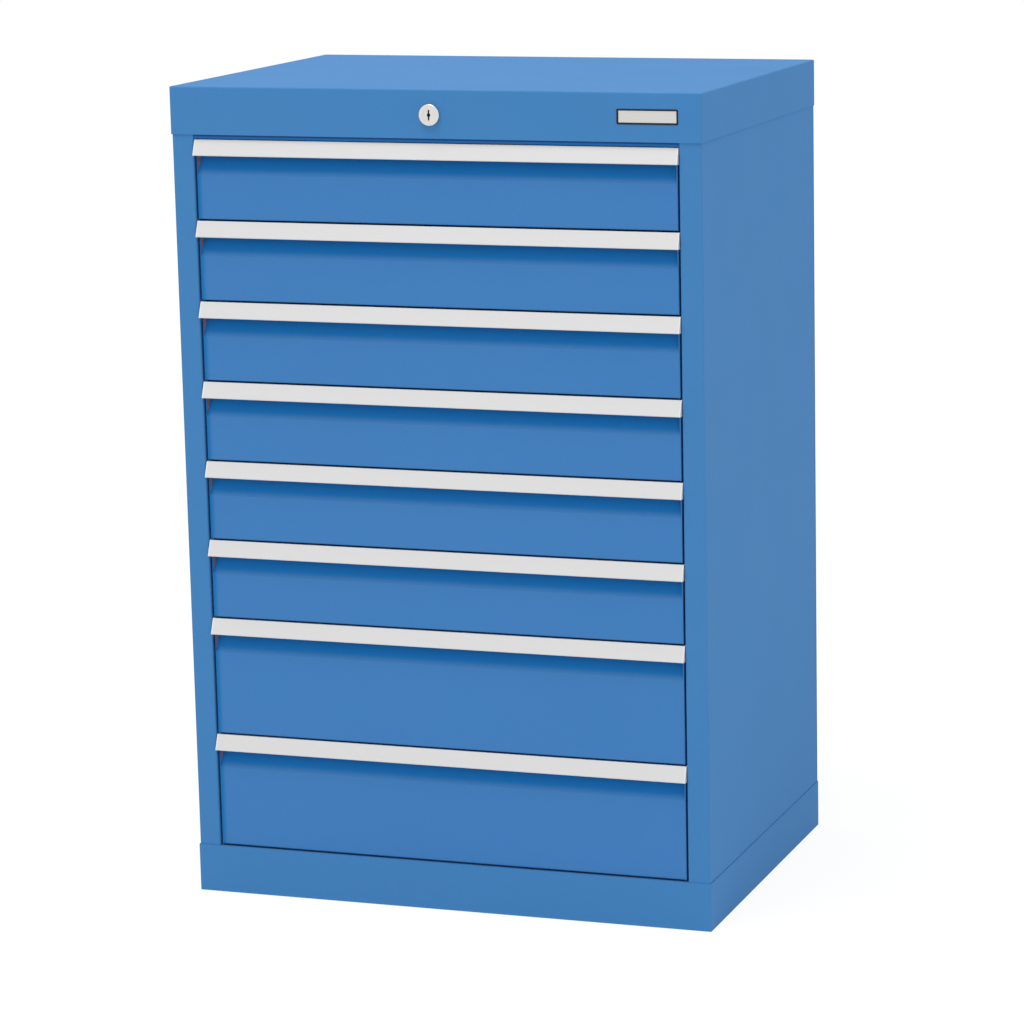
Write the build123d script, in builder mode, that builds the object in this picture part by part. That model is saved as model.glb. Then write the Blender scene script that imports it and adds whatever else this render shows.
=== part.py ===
"""Steel drawer cabinet: a hood, two side panels with front posts, a back panel and a base around
eight drawers on full-extension rails, locked together by one cylinder lock.

Millimetres. +Z is up, +X is to the right of someone facing the drawers and -Y is towards them.
The origin is under the middle of the whole cabinet, handle strips included, on the floor."""

from math import atan2, hypot, pi, sin, tan
import os

from build123d import *

# Housing
width = 680.0
depth = 494.0
hood_height = 58.5
base_height = 60.0
small_drawers = 6
large_drawers = 2
small_pitch = 100.0
large_pitch = 150.0
opening_spare = 1.5
post_width = 29.0
housing_sheet = 1.25
housing_bend = 2.0
jamb_depth = 25.0
post_tail = 12.0
rear_flange = 22.0
rail_flange = 20.0
seam_gap = 0.1
cover_rail_gap = 1.0
cover_rail_depth = 12.0
deck_level = 30.0
foot_flange = 40.0
foot_sheet = 1.5

# Drawer fronts
top_gap = 6.0
front_gap = 2.2
side_gap = 2.7
front_sheet = 1.25
front_bend = 1.75
front_corner = 0.8
front_setback = 3.0
ledge_drop = 0.5
nose_inset = 3.5
nose_height = 7.0
recess_depth = 10.0
recess_top_drop = 21.0
recess_foot_drop = 43.0
front_box_depth = 19.0
front_hem_drop = 31.0
under_flange = 15.0

# Handle strips
strip_sheet = 1.8
strip_edge = 0.8
strip_drop = 19.5
strip_reach = 4.8
strip_lip = 4.0
strip_head_drop = 4.2
strip_web_drop = 9.0
cap_thickness = 1.5
cap_gap = 1.0
cap_spigot = 5.0
cap_fit = 0.15
cap_clearance = 0.3

# Trays
tray_sheet = 1.0
tray_top_drop = 20.0
tray_rim = 5.0
slot_width = 2.2
slot_pitch = 25.0
slot_foot = 12.0
slot_head = 11.0
slot_end_margin = 20.0

# Rails
rail_inset = 1.0
rail_sheet = 1.5
rail_lift = 5.0
rail_height = 44.0
rail_depth = 13.0
rail_play = 0.4
rail_web_play = 0.6
rail_start = 3.0
bracket_sheet = 2.0
bracket_height = 30.0
bracket_foot = 18.0
bracket_inset = 30.0

# Central lock
lock_drop = 30.0
rosette_diameter = 26.0
rosette_height = 4.2
rosette_edge = 1.3
barrel_diameter = 18.6
barrel_length = 26.0
barrel_hole_play = 0.2
plug_diameter = 15.0
plug_play = 0.05
plug_recess = 0.3
key_slot_width = 2.0
key_slot_height = 12.5
key_slot_depth = 14.0
key_bore = 4.5
nut_across_flats = 24.0
nut_thickness = 4.0
rod_diameter = 8.0
rod_play = 0.08
hanger_width = 30.0
hanger_sheet = 2.0
hanger_setback = 60.0
hanger_drop = 14.0
crank_radius = 8.5
crank_thickness = 4.0
crank_pin_diameter = 5.0
crank_hub_diameter = 14.0
crank_margin = 1.8
slot_play = 0.4
bar_width = 34.0
bar_thickness = 3.0
bar_standoff = 13.5
bar_foot_gap = 0.3
bar_head = 9.0
guide_gap = 0.3
guide_lip = 3.0
guide_foot = 50.0
guide_head = 50.0
hook_width = 14.0
hook_thickness = 3.0
finger_thickness = 4.0
catch_width = 30.0
catch_sheet = 2.0
catch_lift = 50.0
catch_reach = 20.0
catch_lip_drop = 12.0
catch_clearance = 1.5
catch_room = 33.0
finger_gap = 12.0

# Blank plate on the hood
plate_inset = 67.0
plate_drop = 28.5
plate_width = 73.9
plate_height = 15.9
plate_gap = 0.8
plate_recess = 0.4
plate_back = 1.0
plate_tab = 3.5

# Planes and levels that several pieces share
pitches = [small_pitch] * small_drawers + [large_pitch] * large_drawers
opening_top = base_height + sum(pitches) + opening_spare
height = opening_top + hood_height
hood_underside = height - housing_sheet
opening_x = width / 2 - post_width
side_x = width / 2 - housing_sheet

lip_angle = atan2(strip_drop, strip_reach + front_setback)
lip_setback = strip_edge / tan(lip_angle / 2) - strip_edge
front_y = (strip_reach - lip_setback - depth) / 2
lip_y = front_y - strip_reach
back_y = front_y + depth
middle_y = front_y + depth / 2
post_y = front_y + housing_sheet
back_inner_y = back_y - 2 * housing_sheet
bar_back_y = back_inner_y - bar_standoff
bar_front_y = bar_back_y - bar_thickness

panel_y = front_y + front_setback
nose_y = panel_y + nose_inset
recess_y = panel_y + recess_depth
tray_front_y = panel_y + front_box_depth
tray_back_y = bar_front_y - catch_room
front_x = opening_x - side_gap
handle_x = opening_x - cap_gap
strip_x = handle_x - cap_thickness

rail_outer_x = opening_x - rail_inset
tray_x = rail_outer_x - rail_depth
rail_front_y = tray_front_y + rail_start
rail_back_y = tray_back_y + rail_start
middle_rail_height = rail_height - 2 * (rail_sheet + rail_play)
drawer_rail_height = middle_rail_height - 2 * (rail_sheet + rail_play)
middle_rail_x = rail_outer_x - rail_sheet - rail_web_play
drawer_rail_x = middle_rail_x - rail_sheet - rail_web_play

lock_level = height - lock_drop
crank_back_y = bar_front_y - guide_gap
crank_front_y = crank_back_y - crank_thickness
crank_drop = crank_radius * sin(pi / 4)
bar_travel = 2 * crank_drop
plate_centre_x = width / 2 - plate_inset
plate_centre_level = height - plate_drop

tops = [opening_top - top_gap - sum(pitches[:i]) for i in range(len(pitches))]
cover_rail_foot = tops[0] + cover_rail_gap
bottoms = [top + front_gap for top in tops[1:]] + [base_height + front_gap]
tray_floors = [bottom + front_sheet for bottom in bottoms]

os.makedirs("parts", exist_ok=True)


def save(part, name):
    """Writes one finished piece under its name."""
    part.label = name
    export_step(part, f"parts/{name}.step")


def box_between(low, high, mode=Mode.ADD):
    """A block from its lowest corner to its highest, added to the part being built."""
    size = [b - a for a, b in zip(low, high)]
    with Locations(low):
        Box(*size, align=(Align.MIN, Align.MIN, Align.MIN), mode=mode)


# Hood: one folded sheet with a skirt all round, a hanger inside for the lock rod, and an angle under
# the front flange that covers the gap over the first drawer
with BuildPart() as top_hood:
    with BuildSketch(Plane.XY.offset(opening_top)):
        with Locations((0, middle_y)):
            Rectangle(width, depth)
    extrude(amount=hood_height)
    fillet(top_hood.edges().filter_by(Axis.Z), housing_bend)
    fillet(top_hood.edges().group_by(Axis.Z)[-1], housing_bend)
    box_between(
        (-side_x, post_y, opening_top),
        (side_x, back_y - housing_sheet, hood_underside),
        Mode.SUBTRACT,
    )
    box_between(
        (seam_gap - opening_x, post_y, opening_top),
        (opening_x - seam_gap, post_y + rail_flange, opening_top + housing_sheet),
    )
    box_between(
        (seam_gap - opening_x, panel_y, cover_rail_foot),
        (opening_x - seam_gap, panel_y + housing_sheet, opening_top),
    )
    box_between(
        (seam_gap - opening_x, panel_y, opening_top - housing_sheet),
        (opening_x - seam_gap, panel_y + cover_rail_depth, opening_top),
    )
    with BuildSketch(Plane.XZ.offset(-front_y)):
        with Locations((0, lock_level)):
            Circle(barrel_diameter / 2 + barrel_hole_play)
        with Locations((plate_centre_x, plate_centre_level)):
            Rectangle(plate_width + 2 * plate_gap, plate_height + 2 * plate_gap)
    extrude(amount=-housing_sheet, mode=Mode.SUBTRACT)
    hanger_y = crank_front_y - hanger_setback
    with BuildSketch(Plane.XZ.offset(-hanger_y)):
        with Locations((0, hood_underside)):
            Rectangle(
                hanger_width,
                hood_underside - lock_level + hanger_drop,
                align=(Align.CENTER, Align.MAX),
            )
        with Locations((0, lock_level)):
            Circle(rod_diameter / 2 + rod_play, mode=Mode.SUBTRACT)
    extrude(amount=-hanger_sheet)
save(top_hood.part, "top_hood")

# Side panels: each sheet is folded into the post beside the drawers and a flange at the back
with BuildPart() as right_side_panel:
    with BuildSketch(Plane.XY.offset(deck_level)):
        with BuildLine():
            FilletPolyline(
                (opening_x + post_tail, post_y + jamb_depth),
                (opening_x, post_y + jamb_depth),
                (opening_x, post_y),
                (side_x, post_y),
                (side_x, back_inner_y),
                (side_x - rear_flange, back_inner_y),
                radius=housing_bend,
            )
            offset(amount=housing_sheet, side=Side.LEFT)
        make_face()
    extrude(amount=hood_underside - deck_level)
save(right_side_panel.part, "right_side_panel")

with BuildPart() as left_side_panel:
    add(right_side_panel.part)
    mirror(about=Plane.YZ, mode=Mode.REPLACE)
save(left_side_panel.part, "left_side_panel")

# Back panel, with the guide channel of the lock bar welded to it
guide_x = bar_width / 2 + guide_gap
guide_front_y = bar_front_y - guide_gap - housing_sheet
with BuildPart() as back_panel:
    box_between(
        (-side_x, back_inner_y, deck_level),
        (side_x, back_inner_y + housing_sheet, hood_underside),
    )
    box_between(
        (-guide_x - housing_sheet, guide_front_y, deck_level + guide_foot),
        (guide_x + housing_sheet, back_inner_y, opening_top - guide_head),
    )
    box_between(
        (-guide_x, guide_front_y + housing_sheet, deck_level + guide_foot),
        (guide_x, back_inner_y, opening_top - guide_head),
        Mode.SUBTRACT,
    )
    box_between(
        (guide_lip - guide_x, guide_front_y, deck_level + guide_foot),
        (guide_x - guide_lip, guide_front_y + housing_sheet, opening_top - guide_head),
        Mode.SUBTRACT,
    )
save(back_panel.part, "back_panel")

# Base: skirts all round, a deck inside that closes the cabinet, and flanges to stand on
with BuildPart() as base_plinth:
    with BuildSketch():
        with Locations((0, middle_y)):
            Rectangle(width, depth)
    extrude(amount=base_height)
    fillet(base_plinth.edges().filter_by(Axis.Z), housing_bend)
    box_between(
        (-side_x, post_y, deck_level),
        (side_x, back_y - housing_sheet, base_height),
        Mode.SUBTRACT,
    )
    box_between(
        (-side_x, post_y, foot_sheet),
        (side_x, back_y - housing_sheet, deck_level - housing_sheet),
        Mode.SUBTRACT,
    )
    box_between(
        (foot_flange - width / 2, front_y + foot_flange, 0),
        (width / 2 - foot_flange, back_y - foot_flange, foot_sheet),
        Mode.SUBTRACT,
    )
    box_between(
        (seam_gap - opening_x, post_y, base_height - housing_sheet),
        (opening_x - seam_gap, post_y + rail_flange, base_height),
    )
save(base_plinth.part, "base_plinth")

# Cabinet rails: a channel beside each drawer, held off the side panel by two brackets
with BuildPart() as cabinet_rails:
    for floor in tray_floors:
        rail_foot = floor + rail_lift
        rail_mid = rail_foot + rail_height / 2
        box_between(
            (tray_x + rail_web_play, rail_front_y, rail_foot),
            (rail_outer_x, rail_back_y, rail_foot + rail_height),
        )
        box_between(
            (tray_x, rail_front_y, rail_foot + rail_sheet),
            (rail_outer_x - rail_sheet, rail_back_y, rail_foot + rail_height - rail_sheet),
            Mode.SUBTRACT,
        )
        for bracket_y in (rail_front_y + bracket_inset, rail_back_y - bracket_inset):
            box_between(
                (rail_outer_x, bracket_y, rail_mid - bracket_height / 2),
                (
                    side_x - housing_sheet,
                    bracket_y + bracket_sheet,
                    rail_mid + bracket_height / 2,
                ),
            )
            box_between(
                (
                    side_x - housing_sheet - bracket_sheet,
                    bracket_y,
                    rail_mid - bracket_height / 2,
                ),
                (
                    side_x - housing_sheet,
                    bracket_y + bracket_foot,
                    rail_mid + bracket_height / 2,
                ),
            )
    mirror(about=Plane.YZ)
save(cabinet_rails.part, "cabinet_rails")

# Lock housing: a round rosette on the hood and a barrel through it
lock_plane = Plane.XZ.offset(-front_y)
with BuildPart() as lock_housing:
    with BuildSketch(lock_plane):
        with Locations((0, lock_level)):
            Circle(rosette_diameter / 2)
    extrude(amount=rosette_height)
    fillet(lock_housing.edges().sort_by(Axis.Y)[0], rosette_edge)
    with BuildSketch(lock_plane):
        with Locations((0, lock_level)):
            Circle(barrel_diameter / 2)
    extrude(amount=-barrel_length)
    with BuildSketch(lock_plane.offset(rosette_height)):
        with Locations((0, lock_level)):
            Circle(plug_diameter / 2 + plug_play)
    extrude(amount=-rosette_height - barrel_length, mode=Mode.SUBTRACT)
save(lock_housing.part, "lock_housing")

with BuildPart() as lock_nut:
    with BuildSketch(lock_plane.offset(-housing_sheet)):
        with Locations((0, lock_level)):
            RegularPolygon(nut_across_flats / 2, 6, major_radius=False)
            Circle(barrel_diameter / 2 + plug_play, mode=Mode.SUBTRACT)
    extrude(amount=-nut_thickness)
save(lock_nut.part, "lock_nut")

# Lock plug: turned by the key, with a slot and a round hole for it
plug_plane = lock_plane.offset(rosette_height - plug_recess)
plug_back_y = front_y + barrel_length
with BuildPart() as lock_plug:
    with BuildSketch(plug_plane):
        with Locations((0, lock_level)):
            Circle(plug_diameter / 2)
    extrude(amount=-rosette_height + plug_recess - barrel_length)
    with BuildSketch(plug_plane):
        with Locations((0, lock_level)):
            Rectangle(key_slot_width, key_slot_height)
            Circle(key_bore / 2)
    extrude(amount=-key_slot_depth, mode=Mode.SUBTRACT)
save(lock_plug.part, "lock_plug")

# Lock rod: carries the turn of the plug to the back, where its crank lifts the lock bar
rod_axis_plane = Plane.XZ.offset(-plug_back_y)
crank_pin = (crank_drop, lock_level - crank_drop)
with BuildPart() as lock_rod:
    with BuildSketch(rod_axis_plane):
        with Locations((0, lock_level)):
            Circle(rod_diameter / 2)
    extrude(amount=plug_back_y - crank_back_y)
    with BuildSketch(Plane.XZ.offset(-crank_front_y)):
        with Locations((0, lock_level)):
            Circle(crank_hub_diameter / 2)
        with Locations(crank_pin):
            Circle(crank_pin_diameter / 2 + crank_margin)
        make_hull()
    extrude(amount=-crank_thickness)
    with BuildSketch(Plane.XZ.offset(-crank_back_y)):
        with Locations(crank_pin):
            Circle(crank_pin_diameter / 2)
    extrude(amount=crank_back_y - bar_back_y - guide_gap)
save(lock_rod.part, "lock_rod")

# Lock bar: a flat bar behind the drawers, with a slot for the crank pin and a hook for each drawer
pin_x, pin_level = crank_pin
catch_levels = [floor + catch_lift for floor in tray_floors]
finger_y = tray_back_y + finger_gap
with BuildPart() as lock_bar:
    box_between(
        (-bar_width / 2, bar_front_y, deck_level + bar_foot_gap),
        (bar_width / 2, bar_back_y, pin_level + bar_head),
    )
    with BuildSketch(Plane.XZ.offset(-bar_front_y)):
        with Locations(((pin_x + crank_radius) / 2, pin_level)):
            SlotCenterToCenter(
                crank_radius - pin_x + 2 * slot_play,
                crank_pin_diameter + 2 * slot_play,
            )
    extrude(amount=-bar_thickness, mode=Mode.SUBTRACT)
with BuildPart() as lock_hooks:
    for level in catch_levels:
        finger_top = level - catch_lip_drop - catch_clearance
        arm_top = level - catch_lip_drop - bar_travel - catch_clearance
        box_between(
            (-hook_width / 2, finger_y, arm_top - hook_thickness),
            (hook_width / 2, bar_front_y, arm_top),
        )
        box_between(
            (-hook_width / 2, finger_y, arm_top),
            (hook_width / 2, finger_y + finger_thickness, finger_top),
        )
save(Compound(children=[lock_bar.part, *lock_hooks.solids()]), "lock_bar")

# Blank plate that shows through a window in the hood
with BuildPart() as name_plate:
    with BuildSketch(lock_plane.offset(-plate_recess)):
        with Locations((plate_centre_x, plate_centre_level)):
            Rectangle(plate_width, plate_height)
    extrude(amount=plate_recess - housing_sheet)
    with BuildSketch(lock_plane.offset(-housing_sheet)):
        with Locations((plate_centre_x, plate_centre_level)):
            Rectangle(plate_width, plate_height + 2 * plate_tab)
    extrude(amount=-plate_back)
save(name_plate.part, "name_plate")


def build_front(name, top, bottom):
    """Front panel: one folded sheet with a nose for the strip, a finger recess and closed ends."""
    ledge = top - ledge_drop
    with BuildPart() as front:
        with BuildSketch(Plane.YZ):
            with BuildLine():
                FilletPolyline(
                    (tray_front_y, top - front_hem_drop),
                    (tray_front_y, ledge),
                    (nose_y, ledge),
                    (nose_y, ledge - nose_height),
                    (recess_y, ledge - nose_height),
                    (recess_y, top - recess_top_drop),
                    (panel_y, top - recess_foot_drop),
                    (panel_y, bottom),
                    (tray_front_y + under_flange, bottom),
                    radius=front_bend,
                )
                offset(amount=front_sheet, side=Side.LEFT)
            make_face()
        extrude(amount=front_x, both=True)
        for low_x in (-front_x, front_x - front_sheet):
            box_between(
                (low_x, panel_y, bottom),
                (low_x + front_sheet, tray_front_y, top - strip_drop - cap_clearance),
            )
            box_between(
                (low_x, recess_y, bottom),
                (low_x + front_sheet, tray_front_y, ledge),
            )
        corners = front.edges().filter_by(Axis.Z).group_by(Axis.Y)[0]
        outer_corners = corners.filter_by(lambda edge: abs(abs(edge.center().X) - front_x) < front_corner)
        fillet(outer_corners, front_corner)
    save(front.part, name)


def blade_back_y(drop):
    """How far back the back of a handle strip's slanted blade lies, at a drop below its top."""
    slant = (strip_reach + front_setback) / strip_drop
    return panel_y - slant * drop + strip_sheet * hypot(1, slant)


def build_handle(name, top):
    """Handle strip: an extruded blade over the finger recess, with a lip turned in under it and a
    web that fastens it to the nose of the front."""
    lip_level = top - strip_drop
    lip_top = lip_level + strip_sheet
    head_level = top - strip_head_drop
    with BuildPart() as strip:
        with BuildSketch(Plane.YZ) as section:
            with BuildLine():
                Polyline(
                    (lip_y, lip_level),
                    (panel_y, top),
                    (nose_y, top),
                    (nose_y, top - strip_web_drop),
                    (nose_y - strip_sheet, top - strip_web_drop),
                    (nose_y - strip_sheet, head_level),
                    (blade_back_y(strip_head_drop), head_level),
                    (blade_back_y(strip_drop - strip_sheet), lip_top),
                    (lip_y + strip_lip, lip_top),
                    (lip_y + strip_lip, lip_level),
                    close=True,
                )
            make_face()
            crest_corners = section.vertices().group_by(Axis.Y)[-1]
            lip_corner = section.vertices().sort_by(Axis.X)[0]
            fillet([*crest_corners, lip_corner], strip_edge)
        extrude(amount=strip_x, both=True)
    save(strip.part, name)


def cap_outline(top):
    """The closed outline of an end cap, over the end of the strip and of the finger recess."""
    return Polyline(
        (lip_y, top - strip_drop),
        (panel_y, top),
        (recess_y, top),
        (recess_y, top - strip_drop),
        close=True,
    )


def build_end_caps(name, top):
    """End caps: a plate on each end of the handle strip, with a spigot behind the blade."""
    cap_plane = Plane.YZ.offset(strip_x)
    with BuildPart() as caps:
        with BuildSketch(cap_plane) as plate:
            with BuildLine():
                cap_outline(top)
            make_face()
            fillet(plate.vertices(), strip_edge)
        extrude(amount=cap_thickness)
        with BuildSketch(cap_plane):
            with BuildLine():
                cap_outline(top)
            make_face()
            offset(amount=-strip_sheet - cap_fit, mode=Mode.REPLACE)
            with Locations((recess_y, top)):
                Rectangle(2 * front_box_depth, 2 * (strip_web_drop + cap_fit), mode=Mode.SUBTRACT)
        extrude(amount=-cap_spigot)
        mirror(about=Plane.YZ)
    save(caps.part, name)


def slots_along(length):
    """How many divider slots fit in a tray wall of that length."""
    return 1 + int((length - 2 * slot_end_margin) / slot_pitch)


def build_tray(name, top, floor):
    """Tray: a folded box with rims and slots for dividers, and the catch on its back for the lock."""
    rim_level = top - tray_top_drop
    slot_height = rim_level - slot_head - floor - slot_foot
    slot_level = floor + slot_foot + slot_height / 2
    tray_length = tray_back_y - tray_front_y
    with BuildPart() as tray:
        box_between((-tray_x, tray_front_y, floor), (tray_x, tray_back_y, rim_level))
        box_between(
            (tray_sheet - tray_x, tray_front_y + tray_sheet, floor + tray_sheet),
            (tray_x - tray_sheet, tray_back_y - tray_sheet, rim_level),
            Mode.SUBTRACT,
        )
        for low_x in (-tray_x - tray_rim, tray_x):
            box_between(
                (low_x, tray_front_y, rim_level - tray_sheet),
                (low_x + tray_rim, tray_back_y, rim_level),
            )
        with BuildSketch(Plane.YZ):
            with Locations((tray_front_y + tray_length / 2, slot_level)):
                with GridLocations(slot_pitch, 0, slots_along(tray_length), 1):
                    Rectangle(slot_width, slot_height)
        extrude(amount=tray_x, both=True, mode=Mode.SUBTRACT)
        with BuildSketch(Plane.XZ.offset(-tray_front_y)):
            with Locations((0, slot_level)):
                with GridLocations(slot_pitch, 0, slots_along(2 * tray_x), 1):
                    Rectangle(slot_width, slot_height)
        extrude(amount=-tray_length, mode=Mode.SUBTRACT)
    level = floor + catch_lift
    with BuildPart() as catch:
        box_between(
            (-catch_width / 2, tray_back_y, level),
            (catch_width / 2, tray_back_y + catch_reach, level + catch_sheet),
        )
        box_between(
            (-catch_width / 2, tray_back_y + catch_reach - catch_sheet, level - catch_lip_drop),
            (catch_width / 2, tray_back_y + catch_reach, level),
        )
    save(Compound(children=[tray.part, catch.part]), name)


def build_channel_pair(name, web_x, flange_x, channel_height, foot):
    """A rail channel on each side, open towards flange_x, with its web at web_x."""
    web_side = 1 if web_x > flange_x else -1
    low_x, high_x = min(web_x, flange_x), max(web_x, flange_x)
    with BuildPart() as channel:
        box_between((low_x, rail_front_y, foot), (high_x, rail_back_y, foot + channel_height))
        inner_low, inner_high = sorted((flange_x, web_x - web_side * rail_sheet))
        box_between(
            (inner_low, rail_front_y, foot + rail_sheet),
            (inner_high, rail_back_y, foot + channel_height - rail_sheet),
            Mode.SUBTRACT,
        )
        mirror(about=Plane.YZ)
    save(channel.part, name)


# Drawers, numbered from the top
for number, (top, bottom, floor) in enumerate(zip(tops, bottoms, tray_floors), start=1):
    drawer = f"drawer_{number}"
    rail_foot = floor + rail_lift
    middle_foot = rail_foot + rail_sheet + rail_play
    drawer_foot = middle_foot + rail_sheet + rail_play
    build_front(f"{drawer}_front", top, bottom)
    build_handle(f"{drawer}_handle", top)
    build_end_caps(f"{drawer}_end_caps", top)
    build_tray(f"{drawer}_tray", top, floor)
    build_channel_pair(f"{drawer}_rails", tray_x, drawer_rail_x, drawer_rail_height, drawer_foot)
    build_channel_pair(
        f"{drawer}_middle_rails",
        middle_rail_x,
        tray_x + rail_sheet + rail_web_play,
        middle_rail_height,
        middle_foot,
    )
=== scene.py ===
"""A blue steel drawer cabinet with eight drawers, light handle strips and one cylinder lock,
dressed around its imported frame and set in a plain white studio."""

import math

import bpy
from mathutils import Matrix, Vector


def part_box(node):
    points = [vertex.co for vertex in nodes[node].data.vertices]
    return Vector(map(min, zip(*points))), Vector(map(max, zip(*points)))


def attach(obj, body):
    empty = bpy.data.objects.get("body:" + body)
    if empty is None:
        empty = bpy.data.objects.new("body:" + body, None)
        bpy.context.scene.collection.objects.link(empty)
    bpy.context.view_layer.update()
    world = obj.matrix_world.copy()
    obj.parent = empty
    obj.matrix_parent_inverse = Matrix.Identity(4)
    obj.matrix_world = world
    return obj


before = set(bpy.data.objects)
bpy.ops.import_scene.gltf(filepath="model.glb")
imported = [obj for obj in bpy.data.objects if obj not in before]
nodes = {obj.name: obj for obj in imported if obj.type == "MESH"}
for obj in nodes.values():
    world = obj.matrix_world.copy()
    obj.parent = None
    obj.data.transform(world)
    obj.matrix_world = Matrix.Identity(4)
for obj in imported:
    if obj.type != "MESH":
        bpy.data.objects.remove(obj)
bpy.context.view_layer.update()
bpy.ops.object.select_all(action="DESELECT")
DRAWERS = range(1, 9)


# The camera of the photograph: a long lens at chest height, to the right of the cabinet. The lens is
# shifted to the side, because the cabinet stands left of the middle of a larger picture.
PHOTO_SIDE = 1024
FOCAL_PIXELS = 3805.1
CENTRE_X_PIXEL = 640.0
CENTRE_Y_PIXEL = 539.1
TURN = math.radians(18.170)
HEIGHT_ANGLE = math.radians(11.681)
ROLL = math.radians(-0.881)
AIM_OFFSET = Vector((-0.16766, 0.08536, -4.87149))
SENSOR_WIDTH = 36.0
NEAREST_SEEN = 0.1
FARTHEST_SEEN = 100.0
scene = bpy.context.scene
hood_low, hood_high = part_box("top_hood")
housing_middle = Vector((0, (hood_low.y + hood_high.y) / 2, hood_high.z / 2))
camera_turn = (
    Matrix.Rotation(TURN, 3, "Z")
    @ Matrix.Rotation(math.pi / 2 - HEIGHT_ANGLE, 3, "X")
    @ Matrix.Rotation(ROLL, 3, "Z")
)
camera_data = bpy.data.cameras.new("photo_camera")
camera_data.sensor_width = SENSOR_WIDTH
camera_data.lens = FOCAL_PIXELS / PHOTO_SIDE * SENSOR_WIDTH
camera_data.shift_x = (PHOTO_SIDE / 2 - CENTRE_X_PIXEL) / PHOTO_SIDE
camera_data.shift_y = (CENTRE_Y_PIXEL - PHOTO_SIDE / 2) / PHOTO_SIDE
camera_data.clip_start = NEAREST_SEEN
camera_data.clip_end = FARTHEST_SEEN
camera = bpy.data.objects.new("photo_camera", camera_data)
scene.collection.objects.link(camera)
camera_place = housing_middle - camera_turn @ AIM_OFFSET
camera.matrix_world = Matrix.Translation(camera_place) @ camera_turn.to_4x4()
scene.camera = camera


# The studio: a white room with soft light all round, one large soft lamp high at the front left and
# a wide weak one low at the right. The floor is pale paper, shown as white, and it fades into the
# white of the room away from the cabinet, so that only the soft shadow on it is seen.
AIR = 0.93
WALL = 1.0
PAPER = 0.90
PAPER_SIZE = 16.0
PAPER_DROP = 0.0003
PAPER_GLOW = 1.02
NEAR_GLOW_SHARE = 0.88
FADE_START = 0.9
FADE_END = 2.2
WHITE = (1.0, 1.0, 1.0, 1.0)
LAMP_DISTANCE = 8.0
LAMPS = {
    "high_lamp": {"azimuth": -25.0, "elevation": 72.0, "diameter": 3.5, "watts": 300.0},
    "right_sheet": {"azimuth": 78.0, "elevation": 12.0, "diameter": 6.0, "watts": 54.0},
}
scene.view_settings.view_transform = "Standard"


def feed(tree, socket, value):
    """Sets a node's input to a plain value, or links it to another node's output."""
    if isinstance(value, bpy.types.NodeSocket):
        tree.links.new(value, socket)
    else:
        socket.default_value = value


def calculated(tree, operation, *values):
    """The outcome of a sum or a comparison of sockets and numbers."""
    node = tree.nodes.new("ShaderNodeMath")
    node.operation = operation
    for socket, value in zip(node.inputs, values):
        feed(tree, socket, value)
    return node.outputs[0]


def smooth_step(tree, value, start, end, before=0.0, after=1.0):
    """A value that turns softly from one into another, while a socket rises from start to end."""
    step = tree.nodes.new("ShaderNodeMapRange")
    step.interpolation_type = "SMOOTHSTEP"
    step.inputs["From Min"].default_value = start
    step.inputs["From Max"].default_value = end
    step.inputs["To Min"].default_value = before
    step.inputs["To Max"].default_value = after
    tree.links.new(value, step.inputs["Value"])
    return step.outputs[0]


def seen_directly(tree):
    """A socket that is 1 for what the camera, a mirror or a glass shows and 0 for scattered light."""
    path = tree.nodes.new("ShaderNodeLightPath")
    seen_or_mirrored = calculated(
        tree, "MAXIMUM", path.outputs["Is Camera Ray"], path.outputs["Is Glossy Ray"]
    )
    return calculated(tree, "MAXIMUM", seen_or_mirrored, path.outputs["Is Transmission Ray"])


def white_light(tree, kind, strength):
    """A shader that gives off white light."""
    light = tree.nodes.new(kind)
    light.inputs["Color"].default_value = WHITE
    light.inputs["Strength"].default_value = strength
    return light.outputs[0]


def mixed(tree, share, shader, other_shader):
    """Two shaders in one, where the share belongs to the other shader."""
    mix = tree.nodes.new("ShaderNodeMixShader")
    for socket, source in zip(mix.inputs, (share, shader, other_shader)):
        tree.links.new(source, socket)
    return mix.outputs[0]


def settle(piece):
    """Works a piece's place, turn and size into its mesh, so that it is unturned at the origin."""
    bpy.ops.object.select_all(action="DESELECT")
    piece.select_set(True)
    bpy.context.view_layer.objects.active = piece
    bpy.ops.object.transform_apply(location=True, rotation=True, scale=True)


world = bpy.data.worlds.new("studio")
scene.world = world
world.use_nodes = True
tree = world.node_tree
tree.nodes.clear()
soft_air = white_light(tree, "ShaderNodeBackground", AIR)
white_wall = white_light(tree, "ShaderNodeBackground", WALL)
room = mixed(tree, seen_directly(tree), soft_air, white_wall)
room_out = tree.nodes.new("ShaderNodeOutputWorld")
tree.links.new(room, room_out.inputs["Surface"])

bpy.ops.mesh.primitive_plane_add(size=PAPER_SIZE, location=(0, 0, -PAPER_DROP))
floor = bpy.context.object
floor.name = "studio_floor"
settle(floor)
floor_paper = bpy.data.materials.new("floor_paper")
floor_paper.use_nodes = True
tree = floor_paper.node_tree
tree.nodes.clear()
place = tree.nodes.new("ShaderNodeTexCoord").outputs["Object"]
distance = tree.nodes.new("ShaderNodeVectorMath")
distance.operation = "LENGTH"
tree.links.new(place, distance.inputs[0])
fade = smooth_step(tree, distance.outputs["Value"], FADE_START, FADE_END, before=NEAR_GLOW_SHARE)
share = calculated(tree, "MULTIPLY", seen_directly(tree), fade)
paper = tree.nodes.new("ShaderNodeBsdfDiffuse")
paper.inputs["Color"].default_value = (PAPER, PAPER, PAPER, 1.0)
glow = white_light(tree, "ShaderNodeEmission", PAPER_GLOW)
paper_out = tree.nodes.new("ShaderNodeOutputMaterial")
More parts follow.
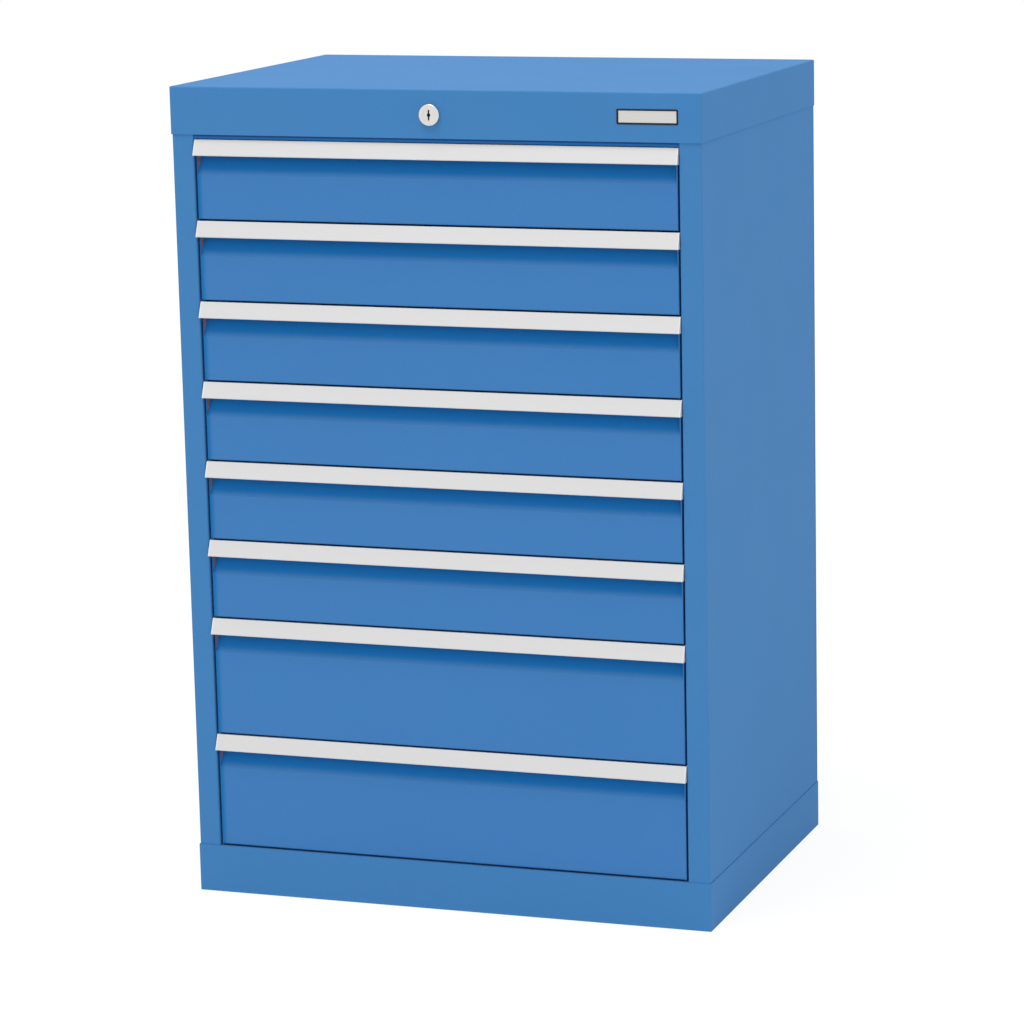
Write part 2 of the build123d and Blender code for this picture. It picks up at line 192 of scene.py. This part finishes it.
tree.links.new(mixed(tree, share, paper.outputs[0], glow), paper_out.inputs["Surface"])
floor.data.materials.append(floor_paper)

for lamp_name, lamp in LAMPS.items():
    azimuth = math.radians(lamp["azimuth"])
    elevation = math.radians(lamp["elevation"])
    towards_lamp = Vector(
        (
            math.cos(elevation) * math.sin(azimuth),
            -math.cos(elevation) * math.cos(azimuth),
            math.sin(elevation),
        )
    )
    lamp_data = bpy.data.lights.new(lamp_name, "AREA")
    lamp_data.shape = "DISK"
    lamp_data.size = lamp["diameter"]
    lamp_data.energy = lamp["watts"]
    lamp_object = bpy.data.objects.new(lamp_name, lamp_data)
    scene.collection.objects.link(lamp_object)
    lamp_object.location = housing_middle + towards_lamp * LAMP_DISTANCE
    lamp_object.rotation_euler = towards_lamp.to_track_quat("Z", "Y").to_euler()


# Powder coat, baked on every folded sheet of the housing and the drawers: a fine orange peel, a
# little lighter and darker in patches, and duller in some places than in others. The group gives
# colour, roughness and peel height; the plastic caps and the plate's black frame use a finer peel.
NOISE_MIDDLE = 0.5
PATCH_SCALE = 6.0
PATCH_DETAIL = 4.0
PEEL_DETAIL = 2.0
PEEL_CONTRAST = 0.10
PEEL_STRENGTH = 0.6
DULL_SCALE = 11.0
DULL_DETAIL = 6.0
DULLING = 0.14
GROUP_OUTPUTS = {
    "Color": "NodeSocketColor",
    "Roughness": "NodeSocketFloat",
    "Height": "NodeSocketFloat",
}


def surface_group(name, inputs):
    """A node group with inputs of its own, which gives a colour, a roughness and a height."""
    group = bpy.data.node_groups.new(name, "ShaderNodeTree")
    for direction, sockets in (("INPUT", inputs), ("OUTPUT", GROUP_OUTPUTS)):
        for socket_name, kind in sockets.items():
            group.interface.new_socket(name=socket_name, in_out=direction, socket_type=kind)
    return group


def noise(tree, vector, scale, detail):
    """Random clouds over a surface, from 0 to 1 and mostly near the middle."""
    clouds = tree.nodes.new("ShaderNodeTexNoise")
    clouds.inputs["Detail"].default_value = detail
    feed(tree, clouds.inputs["Scale"], scale)
    tree.links.new(vector, clouds.inputs["Vector"])
    return clouds.outputs["Fac"]


def shade(tree, clouds, contrast):
    """How much lighter or darker than its mean colour the clouds make a place."""
    from_middle = calculated(tree, "SUBTRACT", clouds, NOISE_MIDDLE)
    return calculated(tree, "MULTIPLY", from_middle, contrast)


def shaded(tree, colour, amount):
    """A colour made lighter or darker by an amount of shade."""
    lightness = tree.nodes.new("ShaderNodeHueSaturation")
    tree.links.new(calculated(tree, "ADD", amount, 1.0), lightness.inputs["Value"])
    tree.links.new(colour, lightness.inputs["Color"])
    return lightness.outputs["Color"]


def textured(name, group, values, relief_height, relief_strength):
    """A material whose colour, roughness and fine relief come from a group, and its shader."""
    material = bpy.data.materials.new(name)
    material.use_nodes = True
    tree = material.node_tree
    surface = tree.nodes["Principled BSDF"]
    texture = tree.nodes.new("ShaderNodeGroup")
    texture.node_tree = group
    for socket_name, value in values.items():
        texture.inputs[socket_name].default_value = value
    tree.links.new(texture.outputs["Color"], surface.inputs["Base Color"])
    tree.links.new(texture.outputs["Roughness"], surface.inputs["Roughness"])
    bump = tree.nodes.new("ShaderNodeBump")
    bump.inputs["Distance"].default_value = relief_height
    bump.inputs["Strength"].default_value = relief_strength
    tree.links.new(texture.outputs["Height"], bump.inputs["Height"])
    tree.links.new(bump.outputs["Normal"], surface.inputs["Normal"])
    return material, surface


powder_coat = surface_group(
    "powder_coat",
    {
        "Paint": "NodeSocketColor",
        "Patchiness": "NodeSocketFloat",
        "Peel Size": "NodeSocketFloat",
        "Base Roughness": "NodeSocketFloat",
    },
)
group_in = powder_coat.nodes.new("NodeGroupInput")
group_out = powder_coat.nodes.new("NodeGroupOutput")
place = powder_coat.nodes.new("ShaderNodeTexCoord").outputs["Object"]
patches = noise(powder_coat, place, PATCH_SCALE, PATCH_DETAIL)
peel = noise(powder_coat, place, group_in.outputs["Peel Size"], PEEL_DETAIL)
dull_spots = noise(powder_coat, place, DULL_SCALE, DULL_DETAIL)
patch_shade = shade(powder_coat, patches, group_in.outputs["Patchiness"])
peel_shade = shade(powder_coat, peel, PEEL_CONTRAST)
both_shades = calculated(powder_coat, "ADD", patch_shade, peel_shade)
coat_colour = shaded(powder_coat, group_in.outputs["Paint"], both_shades)
coat_roughness = calculated(
    powder_coat, "MULTIPLY_ADD", dull_spots, DULLING, group_in.outputs["Base Roughness"]
)
powder_coat.links.new(coat_colour, group_out.inputs["Color"])
powder_coat.links.new(coat_roughness, group_out.inputs["Roughness"])
powder_coat.links.new(peel, group_out.inputs["Height"])


def coated(name, paint, gloss, patchiness=0.05, peel_size=650.0, roughness=0.80, peel_height=0.00005):
    """A coat in one colour, as on a steel sheet unless other values are given."""
    values = {
        "Paint": (*paint, 1.0),
        "Patchiness": patchiness,
        "Peel Size": peel_size,
        "Base Roughness": roughness,
    }
    material, surface = textured(name, powder_coat, values, peel_height, PEEL_STRENGTH)
    surface.inputs["Specular IOR Level"].default_value = gloss
    return material


def paint_over(material, mask, colour):
    """Lays another colour over a coat, where the mask is 1."""
    tree = material.node_tree
    coat = next(node for node in tree.nodes if node.type == "GROUP")
    paint = coat.inputs["Paint"]
    both = tree.nodes.new("ShaderNodeMix")
    both.data_type = "RGBA"
    both.inputs["A"].default_value = paint.default_value
    both.inputs["B"].default_value = (*colour, 1.0)
    for link in list(paint.links):
        tree.links.new(link.from_socket, both.inputs["A"])
    tree.links.new(mask, both.inputs["Factor"])
    tree.links.new(both.outputs["Result"], paint)


def split(tree, vector):
    """The X, Y and Z of a vector, each as a socket."""
    axes = tree.nodes.new("ShaderNodeSeparateXYZ")
    tree.links.new(vector, axes.inputs[0])
    return axes.outputs


def dress(names, material):
    """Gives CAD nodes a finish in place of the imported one."""
    for name in names:
        for slot in nodes[name].material_slots:
            slot.material = material


# The housing: hood, side panels, back panel and base, folded from 1.25 mm sheet, welded and powder
# coated mid blue together. The rail under the hood's front covers the gap over the first drawer, and
# painted shade from the hood's overhang makes its blue deeper, darkest in the corner at its top.
HOUSING_BLUE = (0.034, 0.1755, 0.415)
RAIL_SHADE_BLUE = (0.0, 0.118, 0.36)
RAIL_CORNER_SHADOW_BLUE = (0.0, 0.050, 0.20)
RAIL_TOP = 0.0049
RAIL_CORNER = 0.0027
housing_paint = coated("housing_paint", HOUSING_BLUE, gloss=0.50)
dress(("left_side_panel", "right_side_panel", "back_panel", "base_plinth"), housing_paint)
hood_paint_and_shade = coated("hood_paint_and_shade", HOUSING_BLUE, gloss=0.50)
tree = hood_paint_and_shade.node_tree
place = tree.nodes.new("ShaderNodeTexCoord").outputs["Object"]
height = split(tree, place)["Z"]
rail_shade_mask = calculated(tree, "LESS_THAN", height, hood_low.z + RAIL_TOP)
over_foot = calculated(tree, "GREATER_THAN", height, hood_low.z + RAIL_CORNER)
corner_shade_mask = calculated(tree, "MULTIPLY", rail_shade_mask, over_foot)
# Painted shade: the rail under the hood is deeper blue, and darker still in its top corner.
paint_over(hood_paint_and_shade, rail_shade_mask, RAIL_SHADE_BLUE)
paint_over(hood_paint_and_shade, corner_shade_mask, RAIL_CORNER_SHADOW_BLUE)
dress(("top_hood",), hood_paint_and_shade)


# The drawer fronts: folded sheets with a finger recess, coated apart from the housing in the same
# blue. Painted shade deepens the blue in the recess and in a narrow band at the left end of the
# face; on the insides of the recess's two ends, where the spray hardly reaches, red-brown primer
# shows.
FRONT_BLUE = (0.038, 0.171, 0.422)
RECESS_SHADE_BLUE = (0.0, 0.146, 0.447)
RECESS_SHADE_START = 0.0004
RECESS_SHADE_FULL = 0.0040
LOOKING_UP = 0.7
LEFT_SHADE_BAND_BLUE = (0.0, 0.130, 0.365)
LEFT_SHADE_BAND_START = 0.0015
LEFT_SHADE_BAND_WIDTH = 0.0070
PRIMER_BROWN = (0.36, 0.135, 0.105)
FRONT_SHEET = 0.00125
PRIMER_REACH = 0.0002
front_paint = coated("front_paint", FRONT_BLUE, gloss=0.35, patchiness=0.04)
front_low, front_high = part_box("drawer_1_front")
tree = front_paint.node_tree
on_surface = tree.nodes.new("ShaderNodeTexCoord")
axes = split(tree, on_surface.outputs["Object"])
facing = split(tree, on_surface.outputs["Normal"])
shade_behind_face = smooth_step(tree, axes["Y"], front_low.y + RECESS_SHADE_START, front_low.y + RECESS_SHADE_FULL)
not_on_ledge = calculated(tree, "LESS_THAN", facing["Z"], LOOKING_UP)
in_shaded_recess = calculated(tree, "MULTIPLY", shade_behind_face, not_on_ledge)
shade_band_start = front_low.x + LEFT_SHADE_BAND_START
shade_band_end = shade_band_start + LEFT_SHADE_BAND_WIDTH
left_shade_band = smooth_step(tree, axes["X"], shade_band_start, shade_band_end, before=1.0, after=0.0)
from_middle = calculated(tree, "ABSOLUTE", axes["X"])
on_end = calculated(tree, "COMPARE", from_middle, front_high.x - FRONT_SHEET, PRIMER_REACH)
on_primer = calculated(tree, "MULTIPLY", in_shaded_recess, on_end)
# Painted shade along the left end of each drawer's face.
paint_over(front_paint, left_shade_band, LEFT_SHADE_BAND_BLUE)
# Painted shade in the recess under the strip, full a few mm behind the face.
paint_over(front_paint, in_shaded_recess, RECESS_SHADE_BLUE)
paint_over(front_paint, on_primer, PRIMER_BROWN)
dress([f"drawer_{number}_front" for number in DRAWERS], front_paint)


# The trays: folded and slotted sheet with the catch of the lock riveted to the back, all powder
# coated light grey together.
TRAY_GREY = (0.50, 0.52, 0.52)
tray_paint = coated("tray_paint", TRAY_GREY, gloss=0.5, patchiness=0.03, roughness=0.5)
dress([f"drawer_{number}_tray" for number in DRAWERS], tray_paint)


# Bare metals: drawn aluminium with a fine lengthwise grain, and zinc plated steel with a faint
# cloudy bloom. One group gives the grain of both, drawn out along a piece by its three scales.
GRAIN_DETAIL = 3.0
GRAIN_ROUGHNESS = 0.16
GRAIN_HEIGHT = 0.00002
GRAIN_STRENGTH = 0.5
metal_grain = surface_group(
    "metal_grain",
    {
        "Metal": "NodeSocketColor",
        "Grain Scale": "NodeSocketVector",
        "Contrast": "NodeSocketFloat",
        "Base Roughness": "NodeSocketFloat",
    },
)
group_in = metal_grain.nodes.new("NodeGroupInput")
group_out = metal_grain.nodes.new("NodeGroupOutput")
place = metal_grain.nodes.new("ShaderNodeTexCoord").outputs["Object"]
drawn_out = metal_grain.nodes.new("ShaderNodeVectorMath")
drawn_out.operation = "MULTIPLY"
metal_grain.links.new(place, drawn_out.inputs[0])
metal_grain.links.new(group_in.outputs["Grain Scale"], drawn_out.inputs[1])
grain = noise(metal_grain, drawn_out.outputs[0], scale=1.0, detail=GRAIN_DETAIL)
grain_shade = shade(metal_grain, grain, group_in.outputs["Contrast"])
metal_colour = shaded(metal_grain, group_in.outputs["Metal"], grain_shade)
metal_roughness = calculated(
    metal_grain, "MULTIPLY_ADD", grain, GRAIN_ROUGHNESS, group_in.outputs["Base Roughness"]
)
metal_grain.links.new(metal_colour, group_out.inputs["Color"])
metal_grain.links.new(metal_roughness, group_out.inputs["Roughness"])
metal_grain.links.new(grain, group_out.inputs["Height"])


def bare_metal(name, metal, grain_scale, contrast, roughness, metallic=1.0):
    """A metal left unpainted, with its grain."""
    values = {
        "Metal": (*metal, 1.0),
        "Grain Scale": grain_scale,
        "Contrast": contrast,
        "Base Roughness": roughness,
    }
    material, surface = textured(name, metal_grain, values, GRAIN_HEIGHT, GRAIN_STRENGTH)
    surface.inputs["Metallic"].default_value = metallic
    return material


# The handle strips: an aluminium extrusion, etched and anodised silver, so it is pale and matt with
# a fine grain along its length.
STRIP_SILVER = (0.59, 0.585, 0.585)
STRIP_GRAIN = (6.0, 900.0, 900.0)
strip_metal = bare_metal(
    "strip_aluminium", STRIP_SILVER, STRIP_GRAIN, contrast=0.05, roughness=0.46, metallic=0.2
)
dress([f"drawer_{number}_handle" for number in DRAWERS], strip_metal)


# The end caps of the strips: moulded in light grey plastic with a fine satin texture, each with a
# spigot that is pushed in behind the blade of the strip.
CAP_GREY = (0.66, 0.655, 0.655)
cap_plastic = coated(
    "cap_plastic",
    CAP_GREY,
    gloss=0.5,
    patchiness=0.02,
    peel_size=1400.0,
    roughness=0.45,
    peel_height=0.00003,
)
dress([f"drawer_{number}_end_caps" for number in DRAWERS], cap_plastic)


# The rails, the lock bar, its rod and the lock's nut: steel sheet and bar, bright zinc plated after
# they are folded or turned.
ZINC = (0.56, 0.57, 0.58)
ZINC_GRAIN = (40.0, 12.0, 40.0)
zinc_steel = bare_metal("zinc_steel", ZINC, ZINC_GRAIN, contrast=0.16, roughness=0.24)
for rails in ("rails", "middle_rails"):
    dress([f"drawer_{number}_{rails}" for number in DRAWERS], zinc_steel)
dress(("cabinet_rails", "lock_bar", "lock_rod", "lock_nut"), zinc_steel)


# The lock: a turned rosette and a plug with its key slot, satin nickel plated. A small black plate
# cut like the slot sits just inside it: painted shade, so that the keyhole reads dark.
NICKEL = (0.76, 0.75, 0.73)
NICKEL_GRAIN = (300.0, 300.0, 300.0)
KEYHOLE_SHADE_BLACK = (0.016, 0.016, 0.017)
KEYHOLE_SHADE_GRAIN = (400.0, 400.0, 400.0)
KEYHOLE_SHADE_DEPTH = 0.0009
KEYHOLE_SHADE_THICKNESS = 0.0006
KEYHOLE_SHADE_BAR_WIDTH = 0.0019
KEYHOLE_SHADE_BAR_HEIGHT = 0.0124
KEYHOLE_SHADE_EYE_RADIUS = 0.0022
KEYHOLE_SHADE_EYE_SIDES = 32
KEYHOLE_SHADE_ROUNDING = 0.00025
ROUNDING_STEPS = 2
FACING_FRONT = (math.pi / 2, 0, 0)
nickel = bare_metal("satin_nickel", NICKEL, NICKEL_GRAIN, contrast=0.03, roughness=0.30)
dress(("lock_housing", "lock_plug"), nickel)
keyhole_shade_black_finish = bare_metal(
    "keyhole_shade_black_finish", KEYHOLE_SHADE_BLACK, KEYHOLE_SHADE_GRAIN, contrast=0.2, roughness=0.5
)


def work_in(piece, kind, **settings):
    """Works one modifier into a piece's mesh."""
    modifier = piece.modifiers.new(kind.lower(), kind)
    for setting, value in settings.items():
        setattr(modifier, setting, value)
    bpy.context.view_layer.objects.active = piece
    bpy.ops.object.modifier_apply(modifier=modifier.name)


def round_edges(piece, width):
    """Rounds the sharp edges of a piece."""
    work_in(piece, "BEVEL", width=width, segments=ROUNDING_STEPS, limit_method="ANGLE")


plug_low, plug_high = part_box("lock_plug")
plug_middle = (plug_low + plug_high) / 2
keyhole_shade_y = plug_low.y + KEYHOLE_SHADE_DEPTH + KEYHOLE_SHADE_THICKNESS / 2
keyhole_shade_middle = Vector((plug_middle.x, keyhole_shade_y, plug_middle.z))
# Painted shade: a black plate cut like the key slot, set just inside it.
bpy.ops.mesh.primitive_cylinder_add(
    vertices=KEYHOLE_SHADE_EYE_SIDES,
    radius=KEYHOLE_SHADE_EYE_RADIUS,
    depth=KEYHOLE_SHADE_THICKNESS,
    location=keyhole_shade_middle,
    rotation=FACING_FRONT,
)
keyhole_shade = bpy.context.object
keyhole_shade.name = "lock_keyhole_shade"
bpy.ops.mesh.primitive_cube_add(size=1, location=keyhole_shade_middle)
keyhole_shade_bar = bpy.context.object
keyhole_shade_bar.scale = (KEYHOLE_SHADE_BAR_WIDTH, KEYHOLE_SHADE_THICKNESS, KEYHOLE_SHADE_BAR_HEIGHT)
settle(keyhole_shade)
settle(keyhole_shade_bar)
work_in(keyhole_shade, "BOOLEAN", operation="UNION", solver="EXACT", object=keyhole_shade_bar)
bpy.data.objects.remove(keyhole_shade_bar)
round_edges(keyhole_shade, KEYHOLE_SHADE_ROUNDING)
keyhole_shade.data.materials.append(keyhole_shade_black_finish)
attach(keyhole_shade, "lock_cylinder")


# The blank plate in the hood: a bare brushed aluminium plate behind a window in the sheet. A thin
# black frame on the hood round the window laps over the plate's rim: painted shade of the gap there.
PLATE_SILVER = (0.70, 0.69, 0.665)
PLATE_GRAIN = (30.0, 1500.0, 1500.0)
WINDOW_SHADE_BLACK = (0.012, 0.013, 0.015)
FRAME_LENGTH = 0.0762
FRAME_HEIGHT = 0.0184
FRAME_BORDER = 0.0022
FRAME_CORNER = 0.0020
FRAME_CORNER_STEPS = 5
FRAME_THICKNESS = 0.0004
FRAME_ROUNDING = 0.00008
FRAME_SMOOTHING = math.radians(40)
plate_metal = bare_metal(
    "plate_aluminium", PLATE_SILVER, PLATE_GRAIN, contrast=0.10, roughness=0.34
)
dress(("name_plate",), plate_metal)
window_shade_black_finish = coated(
    "window_shade_black_finish", WINDOW_SHADE_BLACK, gloss=0.3, patchiness=0.1, peel_size=1800.0, roughness=0.6
)

plate_low, plate_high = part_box("name_plate")
plate_middle = (plate_low + plate_high) / 2
# Painted shade: a thin black frame round the plate's window, for the dark gap round the plate.
bpy.ops.object.select_all(action="DESELECT")
bpy.ops.mesh.primitive_plane_add(
    size=1,
    location=(plate_middle.x, hood_low.y, plate_middle.z),
    rotation=FACING_FRONT,
)
plate_frame = bpy.context.object
plate_frame.name = "plate_frame"
plate_frame.scale = (FRAME_LENGTH, FRAME_HEIGHT, 1)
settle(plate_frame)
bpy.ops.object.mode_set(mode="EDIT")
bpy.ops.mesh.select_all(action="SELECT")
bpy.ops.mesh.bevel(offset=FRAME_CORNER, segments=FRAME_CORNER_STEPS, affect="VERTICES")
bpy.ops.mesh.select_all(action="SELECT")
bpy.ops.mesh.inset(thickness=FRAME_BORDER)
bpy.ops.mesh.delete(type="FACE")
bpy.ops.object.mode_set(mode="OBJECT")
work_in(plate_frame, "SOLIDIFY", thickness=FRAME_THICKNESS, offset=1.0)
round_edges(plate_frame, FRAME_ROUNDING)
bpy.ops.object.shade_smooth_by_angle(angle=FRAME_SMOOTHING)
plate_frame.data.materials.append(window_shade_black_finish)
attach(plate_frame, "cabinet")
